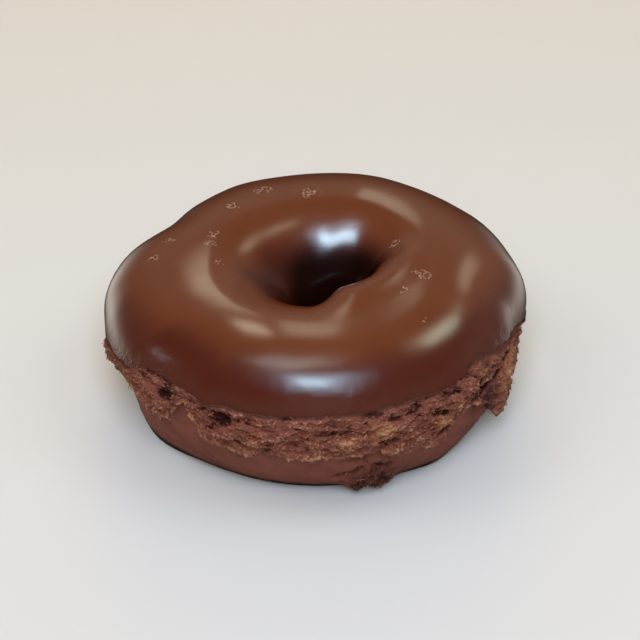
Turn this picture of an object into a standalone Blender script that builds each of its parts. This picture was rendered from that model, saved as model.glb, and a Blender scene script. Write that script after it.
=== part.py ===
"""Chocolate cake doughnut: a fried cake ring with a torn, craggy side, under a coat of chocolate icing.

Metres, +Z up. The flat underside lies on Z = 0, and the middle of the ring's outline is over the origin.
The ring's front, where the crumb hangs down in a torn lump, faces -Y. Two solids: cake and icing.
"""

import math

import bpy
from mathutils import Vector, noise

# The ring above its waist: a fat superellipse section, leaning a little
OUTER_RADIUS = 0.0440
CREST_RADIUS = 0.0230
HOLE_RADIUS = 0.0063
HOLE_FLARE = 0.0050  # how much wider the hole is at the base
HEIGHT = 0.0309
WAIST_HEIGHT = 0.0170
FULLNESS = 0.89  # 1 is an elliptical section, and less is squarer
HOLE_FULLNESS = 1.28  # more than 1 makes the hole a funnel
STEEP_SIDE = (-60, 75)  # the side of the hole that is as full as the rest: degrees, half width
HOLE_CENTRE = (0.0010, -0.0012)

# The side below the waist, and the lower band, which is set in under the torn lip
SIDE_TAPER = 0.0028
BAND_RADIUS = 0.0420
BAND_TOP = 0.0130
BASE_OUTER_RADIUS = 0.0360
BASE_FULLNESS = 0.87

# How uneven the ring is: (waves round the ring, height of the wave, degrees at which it peaks)
OUTLINE_WAVES = ((2, 0.0008, 57), (3, 0.00045, 71), (4, 0.0003, 11))
CREST_WAVES = ((1, 0.0007, 61), (3, 0.0002, 10))
HOLE_WAVES = ((1, 0.0020, 14), (2, 0.0019, 14))  # the hole is an oval, wider at one end

# Places where a line of the ring swells or is dented: (degrees round the ring, half width, how far)
OUTLINE_SWELLS = (
    (167, 10, 0.0013),
    (147, 10, -0.0018),
    (116, 9, 0.0008),
    (26, 14, 0.0006),
    (6, 8, 0.0008),
    (-13, 7, -0.0010),
    (178, 7, 0.0006),
)
CREST_SWELLS = ((72, 16, 0.0007),)
HOLE_SWELLS = ((-92, 38, 0.0018),)
BASE_SWELLS = ((-149, 16, 0.0030), (-27, 12, -0.0019), (-51, 9, 0.0013))

# Icing
ICING_THICKNESS = 0.0016
ICING_EDGE_THICKNESS = 0.0008
ICING_EDGE_HEIGHT = 0.0224
ICING_HOLE_EDGE_HEIGHT = 0.0085
ICING_GAP = 0.0003

# The cake's side: a craggy belt under the icing, which ends in a torn lip
LIP_HEIGHT = 0.0146
LIP_DROP = 0.0007
BELT_SWELL = 0.0002
CLUMP_SIZE = 0.0050
CLUMP_RELIEF = 0.0015
GRAIN_SIZE = 0.0021
GRAIN_RELIEF = 0.0006
UNEVEN_EDGE = 0.0004  # how far the icing's edge and the lip wander on their own

# Places where the icing's edge or the lip leaves its height: (degrees round the ring, half width, rise)
EDGE_RISES = (
    (-178, 13, -0.0090),
    (-156, 10, -0.0030),
    (-148.5, 3, -0.0012),
    (-137, 5, 0.0005),
    (-120.5, 2.5, -0.0009),
    (-107, 8, -0.0005),
    (-68, 18, 0.0006),
    (-40, 6, 0.0017),
    (5, 18, -0.0080),
    (50, 24, -0.0056),
    (100, 26, -0.0056),
    (145, 24, -0.0062),
)
LIP_RISES = (
    (-126.5, 4.5, 0.0064),
    (-148, 7, 0.0008),
    (-114, 5, -0.0007),
    (-60, 7, -0.0020),
    (-47, 6, 0.0034),
    (-28, 10.5, -0.0072),
    (0, 14, -0.0060),
    (38, 8, 0.0012),
    (90, 55, -0.0030),
    (178, 12, -0.0058),
)

# Lumps and dents: (degrees round the ring, half width, height of the middle, half height, how far out)
TORN_LUMP = (-72.5, 6.0, 0.0046, 0.0046, 0.0030)
HOLLOWS = (
    (-152, 12, 0.0110, 0.0055, -0.0030),
    (-37.5, 4, 0.0135, 0.0040, -0.0014),
    (5, 10, 0.0120, 0.0052, -0.0026),
    (180, 9, 0.0090, 0.0045, -0.0024),
)
PITS = (
    (-115, 2.6, 0.0198, 0.0012, -0.0017),
    (-132, 2.2, 0.0205, 0.0014, -0.0014),
    (-89, 1.7, 0.0184, 0.0010, -0.0013),
    (-56, 1.8, 0.0188, 0.0010, -0.0014),
    (-38, 2.4, 0.0185, 0.0014, -0.0018),
)

# The ring swells into the hole: degrees where that begins, is full, begins to fade and ends, and how far
HOLE_LUMP = (-102, -60, -5, 36, 0.0031)

# Fineness of the two solids: steps round the ring, and rows of each stretch of the section
CAKE_STEPS = 180
CAKE_ROWS = (("crown", 8), ("hole_wall", 3), ("base", 1), ("band", 5), ("ledge", 1), ("belt", 10))
ICING_STEPS = 96
ICING_ROWS = (("outside", 11), ("inside", 8))
QUARTER = math.pi / 2


def near(degrees, centre, half_width):
    """1 at the centre and fading to 0 over about twice the half width, measured the short way round."""
    apart = (degrees - centre + 180) % 360 - 180
    return math.exp(-((apart / half_width) ** 2))


def waves(angle, table):
    return sum(height * math.cos(count * (angle - math.radians(peak))) for count, height, peak in table)


def rises(angle, table):
    return sum(rise * near(math.degrees(angle), centre, width) for centre, width, rise in table)


def smooth_step(value, low, high):
    """0 below the low value and 1 above the high one, with an even curve between."""
    share = min(1.0, max(0.0, (value - low) / (high - low)))
    return share * share * (3 - 2 * share)


def wander(angle, seed):
    """A smooth uneven line round the ring, from -1 to 1, that meets itself."""
    here = Vector((3.2 * math.cos(angle), 3.2 * math.sin(angle), seed))
    return noise.noise(here) + 0.6 * noise.noise(here * 2.7)


def edge_height(angle):
    return ICING_EDGE_HEIGHT + rises(angle, EDGE_RISES) + UNEVEN_EDGE * wander(angle, 4.0)


def lip_height(angle):
    return LIP_HEIGHT + rises(angle, LIP_RISES) + UNEVEN_EDGE * wander(angle, 9.0)


def crest_height(angle):
    return HEIGHT + waves(angle, CREST_WAVES) + rises(angle, CREST_SWELLS)


def waist_radius(angle):
    return OUTER_RADIUS + waves(angle, OUTLINE_WAVES) + rises(angle, OUTLINE_SWELLS)


def hole_radius(angle):
    return HOLE_RADIUS + waves(angle, HOLE_WAVES) + rises(angle, HOLE_SWELLS)


def hole_fullness(angle):
    return HOLE_FULLNESS + (FULLNESS - HOLE_FULLNESS) * near(math.degrees(angle), *STEEP_SIDE)


def hole_lump(angle):
    begins, full, fades, ends, out = HOLE_LUMP
    degrees = math.degrees(angle)
    return out * smooth_step(degrees, begins, full) * (1 - smooth_step(degrees, fades, ends))


def side_radius(angle, height):
    """The ring's outside above the lip: nearly upright below the waist, then rounding over to the crest."""
    if height < WAIST_HEIGHT:
        return waist_radius(angle) - SIDE_TAPER * (1 - height / WAIST_HEIGHT) ** 2
    share = (height - WAIST_HEIGHT) / (crest_height(angle) - WAIST_HEIGHT)
    across = (1 - share ** (2 / FULLNESS)) ** (FULLNESS / 2)
    return CREST_RADIUS + across * (waist_radius(angle) - CREST_RADIUS)


def band_radius(angle, height):
    """The lower band, which rounds under to the flat base."""
    up = max(0.0, 1 - height / BAND_TOP)
    outer = BAND_RADIUS + 0.5 * waves(angle, OUTLINE_WAVES)
    base = BASE_OUTER_RADIUS + rises(angle, BASE_SWELLS)
    return base + (1 - up**2) ** BASE_FULLNESS * (outer - base)


def side_point(radius_at, angle, height, out=0.0):
    """A point of the side at this height, moved out along the side's own normal."""
    step = 0.0002
    low, high = max(0.0, height - step), height + step
    slope = (radius_at(angle, high) - radius_at(angle, low)) / (high - low)
    length = math.hypot(1.0, slope)
    radius = radius_at(angle, height) + out / length
    return Vector((radius * math.cos(angle), radius * math.sin(angle), height - out * slope / length))


def section(angle, turn):
    """(radius, height) of the ring. Turn 0 is the waist outside, and the crest, hole and base follow."""
    fullness = FULLNESS if math.cos(turn) >= 0 else hole_fullness(angle)
    across = abs(math.cos(turn)) ** fullness
    up = abs(math.sin(turn)) ** fullness
    above = math.sin(turn) >= 0
    height = WAIST_HEIGHT + up * (crest_height(angle) - WAIST_HEIGHT if above else -WAIST_HEIGHT)
    if math.cos(turn) >= 0:
        return CREST_RADIUS + across * (waist_radius(angle) - CREST_RADIUS), height
    hole = hole_radius(angle)
    start = CREST_RADIUS if above else hole + HOLE_FLARE
    return start - across * (start - hole), height


def top_point(angle, turn, out=0.0):
    """A point of the icing's own surface at this turn round the section, moved out along the normal."""
    step = 0.01
    radius, height = section(angle, turn)
    r0, z0 = section(angle, turn - step)
    r1, z1 = section(angle, turn + step)
    length = math.hypot(r1 - r0, z1 - z0)
    inwards = max(0.0, -math.cos(turn))
    out += hole_lump(angle) * (2 * inwards * max(0.0, math.sin(turn))) ** 2
    radius += out * (z1 - z0) / length
    return Vector(
        (
            radius * math.cos(angle) + inwards * HOLE_CENTRE[0],
            radius * math.sin(angle) + inwards * HOLE_CENTRE[1],
            height - out * (r1 - r0) / length,
        )
    )


def lump(angle, height, shape):
    """How far a lump, or a pit, moves the skin at this place."""
    centre, width, middle, half_height, out = shape
    upright = math.exp(-(((height - middle) / half_height) ** 2))
    return out * near(math.degrees(angle), centre, width) * upright


def crumb(point):
    """How far the torn crumb stands out at a place: rounded clumps with finer grain."""
    nearest = noise.voronoi(point / CLUMP_SIZE)[0][0]
    return CLUMP_RELIEF * (0.45 - nearest) + GRAIN_RELIEF * noise.noise(point / GRAIN_SIZE)


def belt_point(angle, share):
    """The craggy belt, from the lip at share 0 up to the icing's edge at share 1."""
    low, high = lip_height(angle), edge_height(angle)
    height = low + share * (high - low)
    plain = side_point(side_radius, angle, height)
    fade = min(1.0, 5 * (1 - share))
    out = BELT_SWELL + crumb(plain) * fade - 0.6 * ICING_EDGE_THICKNESS * (1 - fade)
    out += sum(lump(angle, height, dent) for dent in PITS + HOLLOWS)
    point = side_point(side_radius, angle, height, out)
    point.z -= LIP_DROP * max(0.0, 1 - 6 * share)
    return point


def band_point(angle, share):
    """The smooth lower band, from the flat base at share 0 up to just under the lip at share 1."""
    height = share * lip_height(angle)
    relief = crumb(side_point(band_radius, angle, height))
    torn = lump(angle, height, TORN_LUMP)
    out = 0.3 * relief * share + torn * (1 + 1.2 * relief / TORN_LUMP[-1])
    out += sum(lump(angle, height, hollow) for hollow in HOLLOWS)
    return side_point(band_radius, angle, height, out * min(1.0, 4 * share))


def icing_turns(angle):
    """The turns round the section at which the icing starts outside and ends in the hole."""
    edge = (edge_height(angle) - WAIST_HEIGHT) / (crest_height(angle) - WAIST_HEIGHT)
    first = math.copysign(math.asin(abs(edge) ** (1 / FULLNESS)), edge)
    hole_edge = 1 - (ICING_HOLE_EDGE_HEIGHT + 2 * UNEVEN_EDGE * wander(angle, 15.0)) / WAIST_HEIGHT
    return first, math.pi + math.asin(hole_edge ** (1 / hole_fullness(angle)))


def icing_thickness(share):
    """Thin at both edges, and full over the rest."""
    full = min(1.0, 7 * share, 5 * (1 - share))
    return ICING_EDGE_THICKNESS + (ICING_THICKNESS - ICING_EDGE_THICKNESS) * math.sin(full * QUARTER)


def cake_point(angle, stretch, share):
    first, last = icing_turns(angle)
    if stretch == "crown":
        return top_point(angle, first + share * (last - first), -icing_thickness(share) - ICING_GAP)
    if stretch == "hole_wall":
        under_edge = ICING_EDGE_THICKNESS + ICING_GAP
        return top_point(angle, last + share * (3 * QUARTER - last), -under_edge * (1 - share) ** 4)
    if stretch == "base":
        return top_point(angle, 3 * QUARTER - 0.001)
    if stretch == "band":
        return band_point(angle, share)
    if stretch == "ledge":
        return band_point(angle, 1.0)
    return belt_point(angle, share)


def icing_point(angle, stretch, share):
    first, last = icing_turns(angle)
    if stretch == "outside":
        return top_point(angle, first + share * (last - first))
    back = 1 - share
    return top_point(angle, first + back * (last - first), -icing_thickness(back))


def row_places(rows):
    """(stretch, share of the way along it) for every row of the section."""
    return [(stretch, row / count) for stretch, count in rows for row in range(count)]


def ring(name, steps, rows, place):
    """A torus whose every vertex is moved to its place on the doughnut."""
    places = row_places(rows)
    bpy.ops.mesh.primitive_torus_add(
        major_segments=steps, minor_segments=len(places), major_radius=1.0, minor_radius=0.5
    )
    ring_object = bpy.context.active_object
    ring_object.name = name
    ring_object.data.name = name
    row_angle = 2 * math.pi / len(places)
    for vertex in ring_object.data.vertices:
        x, y, z = vertex.co
        angle = math.atan2(y, x)
        row = round(math.atan2(z, math.hypot(x, y) - 1.0) / row_angle) % len(places)
        vertex.co = place(angle, *places[row])
    ring_object.data.shade_smooth()
    return ring_object


def flatten_base(cake):
    """The base's two rows lie exactly on the ground, and nothing else reaches it."""
    for vertex in cake.data.vertices:
        vertex.co.z = 0.0 if vertex.co.z < 0.0001 else max(vertex.co.z, 0.0002)


def centre_on_origin(objects):
    """Moves the meshes so that the middle of their common outline stands over the origin."""
    points = [vertex.co for one in objects for vertex in one.data.vertices]
    middle = Vector((0.0, 0.0, 0.0))
    for axis in (0, 1):
        along = [point[axis] for point in points]
        middle[axis] = (min(along) + max(along)) / 2
    for one in objects:
        for vertex in one.data.vertices:
            vertex.co -= middle


def finish(name, colour, roughness, coat=0.0):
    material = bpy.data.materials.new(name)
    material.use_nodes = True
    shader = material.node_tree.nodes["Principled BSDF"]
    shader.inputs["Base Color"].default_value = (*colour, 1.0)
    shader.inputs["Roughness"].default_value = roughness
    shader.inputs["Metallic"].default_value = 0.0
    shader.inputs["Coat Weight"].default_value = coat
    return material


def main():
    for old in list(bpy.data.objects):
        bpy.data.objects.remove(old, do_unlink=True)
    doughnut = bpy.data.collections.new("chocolate_cake_doughnut")
    bpy.context.scene.collection.children.link(doughnut)
    cake = ring("cake", CAKE_STEPS, CAKE_ROWS, cake_point)
    flatten_base(cake)
    icing = ring("icing", ICING_STEPS, ICING_ROWS, icing_point)
    centre_on_origin([cake, icing])
    cake.data.materials.append(finish("crumb", (0.105, 0.035, 0.022), 0.85))
    icing.data.materials.append(finish("chocolate_icing", (0.130, 0.045, 0.020), 0.30, coat=0.5))
    for one in (cake, icing):
        for holder in list(one.users_collection):
            holder.objects.unlink(one)
        doughnut.objects.link(one)


main()
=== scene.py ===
import math

import bpy
from mathutils import Matrix, Vector


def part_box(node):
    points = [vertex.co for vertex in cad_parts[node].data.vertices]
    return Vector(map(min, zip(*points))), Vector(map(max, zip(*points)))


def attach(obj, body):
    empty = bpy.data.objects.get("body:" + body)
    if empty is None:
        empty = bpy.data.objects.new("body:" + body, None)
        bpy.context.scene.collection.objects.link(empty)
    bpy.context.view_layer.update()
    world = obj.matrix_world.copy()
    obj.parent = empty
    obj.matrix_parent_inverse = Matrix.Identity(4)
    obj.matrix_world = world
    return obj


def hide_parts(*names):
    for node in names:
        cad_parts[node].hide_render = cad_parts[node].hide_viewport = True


# Looks of the chocolate cake doughnut: torn crumb side, smooth band under it, and a glossy coat of icing.
# Metres. Angles round the ring are in degrees: 0 is +X, -90 is the front.
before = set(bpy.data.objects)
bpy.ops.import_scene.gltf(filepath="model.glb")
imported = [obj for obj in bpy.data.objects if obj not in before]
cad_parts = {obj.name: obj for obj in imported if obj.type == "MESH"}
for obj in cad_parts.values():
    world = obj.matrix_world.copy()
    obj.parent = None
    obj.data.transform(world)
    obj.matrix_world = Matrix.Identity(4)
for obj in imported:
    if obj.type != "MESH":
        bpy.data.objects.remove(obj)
scene = bpy.context.scene
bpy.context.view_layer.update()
print("frame loaded:", ", ".join(sorted(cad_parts)))


class Flow:
    # one value in a node tree, so that a formula made of nodes is written like any other
    def __init__(self, socket):
        self.socket = socket
        self.tree = socket.id_data

    def math(self, operation, *others):
        node = self.tree.nodes.new("ShaderNodeMath")
        node.operation = operation
        for place, value in enumerate((self, *others)):
            feed(node.inputs[place], value)
        return Flow(node.outputs[0])

    def __add__(self, other):
        return self.math("ADD", other)

    __radd__ = __add__

    def __sub__(self, other):
        return self.math("SUBTRACT", other)

    def __rsub__(self, other):
        return self.math("MULTIPLY", -1.0).math("ADD", other)

    def __mul__(self, other):
        return self.math("MULTIPLY", other)

    def __truediv__(self, other):
        return self.math("DIVIDE", other)

    def __rtruediv__(self, other):
        return self.math("POWER", -1.0) * other

    def __neg__(self):
        return self.math("MULTIPLY", -1.0)

    def power(self, exponent):
        return self.math("MAXIMUM", 0.0).math("POWER", exponent)

    def squared(self):
        return self.math("MULTIPLY", self)

    def atLeast(self, low):
        return self.math("MAXIMUM", low)

    def atMost(self, high):
        return self.math("MINIMUM", high)

    def cos(self):
        return self.math("COSINE")

    def sin(self):
        return self.math("SINE")

    def hill(self, halfWidth):
        return (-(self / halfWidth).squared()).math("EXPONENT")  # 1 at 0, fading over twice the half width

    def step(self, low, high):
        node = self.tree.nodes.new("ShaderNodeMapRange")
        node.interpolation_type = "SMOOTHSTEP"
        for name, value in (("Value", self), ("From Min", low), ("From Max", high)):
            feed(node.inputs[name], value)
        return Flow(node.outputs[0])

    def mix(self, low, high):
        return low + self * (high - low)


def feed(socket, value):
    if isinstance(value, Flow):
        socket.id_data.links.new(value.socket, socket)
    else:
        socket.default_value = value


def openSocket(sockets, name):
    return next(one for one in sockets if one.name == name and one.enabled)


def addNode(tree, kind, settings=None, **feeds):
    # feeds are named for the node's inputs, with _ for a space
    node = tree.nodes.new(kind)
    for name, value in (settings or {}).items():
        setattr(node, name, value)
    for name, value in feeds.items():
        feed(openSocket(node.inputs, name.replace("_", " ")), value)
    return node


def out(node, name=None):
    return Flow(openSocket(node.outputs, name) if name else node.outputs[0])


def noiseAt(place, size, detail=2.0, seed=0.0, roughness=0.5, distortion=0.0):
    # smooth noise about 0, mostly from -0.5 to 0.5
    node = addNode(
        place.tree, "ShaderNodeTexNoise", {"noise_dimensions": "4D"}, Vector=place, W=seed, Scale=1.0 / size,
        Detail=detail, Roughness=roughness, Distortion=distortion,
    )
    return out(node, "Fac") - 0.5


def cellsAt(place, size, smoothness):
    # soft cells, 0 in the middle of each
    settings = {"feature": "SMOOTH_F1"}
    node = addNode(place.tree, "ShaderNodeTexVoronoi", settings, Vector=place, Scale=1.0 / size)
    feed(node.inputs["Smoothness"], smoothness)
    return out(node, "Distance")


def combine(tree, x, y, z):
    return out(addNode(tree, "ShaderNodeCombineXYZ", X=x, Y=y, Z=z))


def split(place):
    node = addNode(place.tree, "ShaderNodeSeparateXYZ", Vector=place)
    return [out(node, axis) for axis in "XYZ"]


def positionOf(tree):
    return out(tree.nodes.new("GeometryNodeInputPosition"))


def buildGroup(name, inputs, makeOutputs, kind="GeometryNodeTree"):
    # a node group built once; makeOutputs gets the group's inputs by name and returns its outputs by name
    group = bpy.data.node_groups.new(name, kind)
    for label in inputs:
        group.interface.new_socket(label, in_out="INPUT", socket_type="NodeSocketFloat")
    start = group.nodes.new("NodeGroupInput")
    results = makeOutputs({label: Flow(start.outputs[label]) for label in inputs})
    end = group.nodes.new("NodeGroupOutput")
    for label, value in results.items():
        socketType = "NodeSocketVector" if value.socket.type == "VECTOR" else "NodeSocketFloat"
        group.interface.new_socket(label, in_out="OUTPUT", socket_type=socketType)
        feed(end.inputs[label], value)
    return group


def useGroup(tree, group, values):
    # puts the group in a tree, feeds the inputs that are named in values, and returns its outputs by name
    node = tree.nodes.new(group.bl_idname.replace("NodeTree", "NodeGroup"))
    node.node_tree = group
    for socket in node.inputs:
        if socket.name in values:
            feed(socket, values[socket.name])
    return {socket.name: Flow(socket) for socket in node.outputs}


def startTree(name, sizes):
    # a node tree whose named inputs are the sizes given; returns (tree, the inputs as a dictionary)
    tree = bpy.data.node_groups.new(name, "GeometryNodeTree")
    kinds = {bpy.types.Object: "NodeSocketObject", int: "NodeSocketInt", float: "NodeSocketFloat"}
    for label, value in sizes.items():
        tree.interface.new_socket(label, in_out="INPUT", socket_type=kinds[type(value)])
    start = tree.nodes.new("NodeGroupInput")
    return tree, {label: Flow(start.outputs[label]) for label in sizes}


def endTree(tree, geometry, material):
    # every tree ends the same way: real mesh, smooth shading, its material
    tree.interface.new_socket("Geometry", in_out="OUTPUT", socket_type="NodeSocketGeometry")
    real = addNode(tree, "GeometryNodeRealizeInstances", Geometry=geometry)
    smooth = tree.nodes.new("GeometryNodeSetShadeSmooth")
    feed(smooth.inputs[0], out(real))
    painted = addNode(tree, "GeometryNodeSetMaterial", Geometry=out(smooth), Material=material)
    feed(tree.nodes.new("NodeGroupOutput").inputs[0], out(painted))


def growPiece(name, tree, sizes):
    # runs the tree once and keeps its result as a plain mesh
    maker = bpy.data.objects.new(name + "Maker", bpy.data.meshes.new(name + "Maker"))
    scene.collection.objects.link(maker)
    modifier = maker.modifiers.new(name, "NODES")
    modifier.node_group = tree
    for item in tree.interface.items_tree:
        if item.in_out == "INPUT" and item.name in sizes:
            modifier[item.identifier] = sizes[item.name]
    bpy.context.view_layer.update()
    grown = maker.evaluated_get(bpy.context.evaluated_depsgraph_get())
    mesh = bpy.data.meshes.new_from_object(grown)
    maker.modifiers.remove(modifier)
    bpy.data.objects.remove(maker)
    mesh.name = name
    piece = bpy.data.objects.new(name, mesh)
    scene.collection.objects.link(piece)
    mesh.calc_loop_triangles()
    print(f"{name}: {len(mesh.loop_triangles)} triangles")
    return piece


# The ring that the cake and its icing share. A wave is (count, height, degrees of its peak);
# a swell or a rise is (degrees, half width, how far).
ringForm = {
    "outer radius": 0.044,
    "crest radius": 0.023,
    "hole radius": 0.0063,
    "hole flare": 0.005,
    "height": 0.0309,
    "waist height": 0.017,
    "fullness": 0.89,
    "hole fullness": 1.28,
    "icing thickness": 0.0016,
    "icing edge thickness": 0.0008,
    "icing gap": 0.0003,
    "icing edge height": 0.0224,
    "icing hole edge height": 0.0085,
    "uneven edge": 0.0004,
    "jagged edge": 0.0005,
}
holeCentre = (0.001, -0.0012)
holeWaves = ((1, 0.002, 14), (2, 0.0019, 14))
holeSwells = ((-92, 38, 0.0018),)
holeLump = (-102, -60, -5, 36, 0.0031)  # degrees over which it rises, then over which it ends, and how far
steepSide = (-60, 75)  # degrees and half width, where the hole's wall is as full as the outside
outlineWaves = ((2, 0.0008, 57), (3, 0.00045, 71), (4, 0.0003, 11))
crestWaves = ((1, 0.0007, 61), (3, 0.0002, 10))
outlineSwells = (
    (167, 10, 0.0013), (147, 10, -0.0018), (116, 9, 0.0008), (26, 14, 0.0006), (6, 8, 0.0008),
    (-13, 7, -0.001), (178, 7, 0.0006),
)
crestSwells = ((72, 16, 0.0007),)
edgeRises = (
    (-178, 13, -0.009), (-156, 10, -0.003), (-148.5, 3, -0.0012), (-137, 5, 0.0005),
    (-120.5, 2.5, -0.0009), (-107, 8, -0.0005), (-68, 18, 0.0006), (-40, 6, 0.0017),
    (5, 18, -0.008), (50, 24, -0.0056), (100, 26, -0.0056), (145, 24, -0.0062),
)


def nearShape(given):
    # 1 at the centre, fading over about twice the half width, the short way round
    apart = (given["Angle"] - given["Centre"]).math("WRAP", 180.0, -180.0)
    return {"Near": apart.hill(given["Half Width"])}


nearGroup = buildGroup("nearAngle", ["Angle", "Centre", "Half Width"], nearShape)


def near(angle, centre, halfWidth):
    values = {"Angle": angle, "Centre": centre, "Half Width": halfWidth}
    return useGroup(angle.tree, nearGroup, values)["Near"]


def rises(angle, table):
    return sum(near(angle, centre, width) * rise for centre, width, rise in table)


def waves(angle, table):
    return sum((angle - peak).math("RADIANS").math("MULTIPLY", count).cos() * height
               for count, height, peak in table)


def ringMeasures(given):
    # everything about the ring that depends on the angle alone
    angle = given["Angle"]
    tree = angle.tree
    cos = angle.math("RADIANS").cos()
    sin = angle.math("RADIANS").sin()
    turned = angle.math("WRAP", 180.0, -180.0)

    def wheel(radius):
        return combine(tree, cos * radius, sin * radius, 0.0)

    def wander(seed):
        return noiseAt(wheel(3.2), 1.0, detail=1.0, seed=seed) * 2.0 * given["uneven edge"]

    def jag(size, seed):
        place = wheel(given["outer radius"])
        return noiseAt(place, size, detail=3.0, seed=seed) * 2.0 * given["jagged edge"]

    waist = given["waist height"]
    fullness = given["fullness"]
    crestHeight = given["height"] + waves(angle, crestWaves) + rises(angle, crestSwells)
    edgeHeight = given["icing edge height"] + rises(angle, edgeRises) + wander(4.0) + jag(0.0022, 3.0)
    edge = (edgeHeight - waist) / (crestHeight - waist)
    holeEdge = 1.0 - (given["icing hole edge height"] + wander(15.0) * 2.0) / waist
    slope = near(angle, *steepSide).mix(given["hole fullness"], fullness)
    outline = waves(angle, outlineWaves)
    return {
        "cos": cos,
        "sin": sin,
        "crest": crestHeight,
        "waist radius": given["outer radius"] + outline + rises(angle, outlineSwells),
        "outline": outline,
        "throat": given["hole radius"] + waves(angle, holeWaves) + rises(angle, holeSwells),
        "slope": slope,
        "edge": edgeHeight,
        "crumb edge": edgeHeight + given["crumb overlap"] + jag(0.0016, 5.0),
        "lip": given["lip height"] + rises(angle, lipRises) + wander(9.0) + jag(0.0018, 7.0),
        "base radius": given["base outer radius"] + rises(angle, baseSwells),
        "bulge": turned.step(*holeLump[:2]) * (1.0 - turned.step(*holeLump[2:4])) * holeLump[4],
        # turns round the section, in radians, at which the icing starts outside and ends in the hole
        "first turn": edge.math("ABSOLUTE").power(1.0 / fullness).math("ARCSINE") * edge.math("SIGN"),
        "last turn": holeEdge.power(1.0 / slope).math("ARCSINE") + math.pi,
    }


def sectionPlace(given):
    # a point of the icing's own skin at a turn round the section, moved out along the section's normal
    cos = given["Turn"].cos()
    sin = given["Turn"].sin()
    above = sin.math("GREATER_THAN", -0.0001)
    outside = cos.math("GREATER_THAN", 0.0)
    fullness = outside.mix(given["slope"], given["fullness"])
    waist = given["waist height"]
    rise = above.mix(waist, given["crest"] - waist)
    start = above.mix(given["throat"] + given["hole flare"], given["crest radius"])
    reach = outside.mix(start - given["throat"], given["waist radius"] - given["crest radius"])
    middle = outside.mix(start, given["crest radius"])
    acrossSign, upSign = cos.math("SIGN"), sin.math("SIGN")
    across, up = cos.math("ABSOLUTE"), sin.math("ABSOLUTE")
    normalOut = across.power(2.0 - fullness) * acrossSign / reach
    normalUp = up.power(2.0 - fullness) * upSign / rise
    length = (normalOut.squared() + normalUp.squared()).math("SQRT")
    inwards = (-cos).atLeast(0.0)
    moved = given["Outwards"] + given["bulge"] * (inwards * sin.atLeast(0.0) * 2.0).squared()
    radius = middle + across.power(fullness) * acrossSign * reach + moved * normalOut / length
    height = waist + up.power(fullness) * upSign * rise + moved * normalUp / length
    x = given["cos"] * radius + inwards * holeCentre[0]
    y = given["sin"] * radius + inwards * holeCentre[1]
    return {"Place": combine(given["Turn"].tree, x, y, height)}


def sidePlace(given):
    # the ring's outside at a height: nearly upright below the waist, then rounding over to the crest
    fullness = given["fullness"]
    waist = given["waist height"]
    share = ((given["Height"] - waist) / (given["crest"] - waist)).atLeast(0.0)
    across = (1.0 - share.power(2.0 / fullness)).power(fullness / 2.0)
    below = (1.0 - given["Height"] / waist).atLeast(0.0)
    crest = given["crest radius"]
    radius = crest + across * (given["waist radius"] - crest) - below.squared() * given["side taper"]
    return {"Place": combine(radius.tree, given["cos"] * radius, given["sin"] * radius, given["Height"])}


def bandPlace(given):
    # the lower band, which rounds under to the flat base
    up = (1.0 - given["Height"] / given["band top"]).atLeast(0.0)
    outer = given["band radius"] + given["outline"] * 0.5
    radius = (1.0 - up.squared()).power(given["band fullness"]).mix(given["base radius"], outer)
    return {"Place": combine(radius.tree, given["cos"] * radius, given["sin"] * radius, given["Height"])}


def vectorMath(operation, first, second):
    node = first.tree.nodes.new("ShaderNodeVectorMath")
    node.operation = operation
    feed(node.inputs[0], first)
    feed(node.inputs["Scale"] if operation == "SCALE" else node.inputs[1], second)
    return out(node, "Vector")


def between(share, low, high):
    return vectorMath("ADD", low, vectorMath("SCALE", vectorMath("SUBTRACT", high, low), share))


def gridStretch(tree, sizes, steps, rows, makePlace, marks):
    # one stretch of the ring's skin: steps round it, rows along it. makePlace turns the share of the way
    # along it into a point, and marks are what the skin remembers there
    grid = addNode(
        tree, "GeometryNodeMeshGrid", Size_X=1.0, Size_Y=1.0, Vertices_X=steps + 1, Vertices_Y=rows + 1
    )
    x, y, _ = split(positionOf(tree))
    angle = (x + 0.5) * 360.0
    share = y + 0.5
    known = {**sizes, **useGroup(tree, ringGroups["ring"], {**sizes, "Angle": angle})}

    def at(name, **given):
        return useGroup(tree, ringGroups[name], {**known, **given})["Place"]

    mesh = out(grid, "Mesh")
    place = makePlace(share, known, at)
    for name, value in marks(share).items():
        mesh = storeMark(mesh, name, value)
    return out(addNode(tree, "GeometryNodeSetPosition", Geometry=mesh, Position=place))


def storeMark(mesh, name, value, domain="POINT"):
    feeds = {"Geometry": mesh, "Name": name, "Value": value}
    return out(addNode(mesh.tree, "GeometryNodeStoreNamedAttribute", {"domain": domain}, **feeds))


def readMark(tree, name):
    return out(addNode(tree, "GeometryNodeInputNamedAttribute", Name=name), "Attribute")


def weld(tree, parts):
    joined = tree.nodes.new("GeometryNodeJoinGeometry")
    for part in parts:
        feed(joined.inputs[0], part)
    return out(addNode(tree, "GeometryNodeMergeByDistance", Geometry=out(joined), Distance=0.000004))


def moveOut(mesh, away):
    normal = out(mesh.tree.nodes.new("GeometryNodeInputNormal"))
    offset = vectorMath("SCALE", normal, away)
    return out(addNode(mesh.tree, "GeometryNodeSetPosition", Geometry=mesh, Offset=offset))


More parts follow.
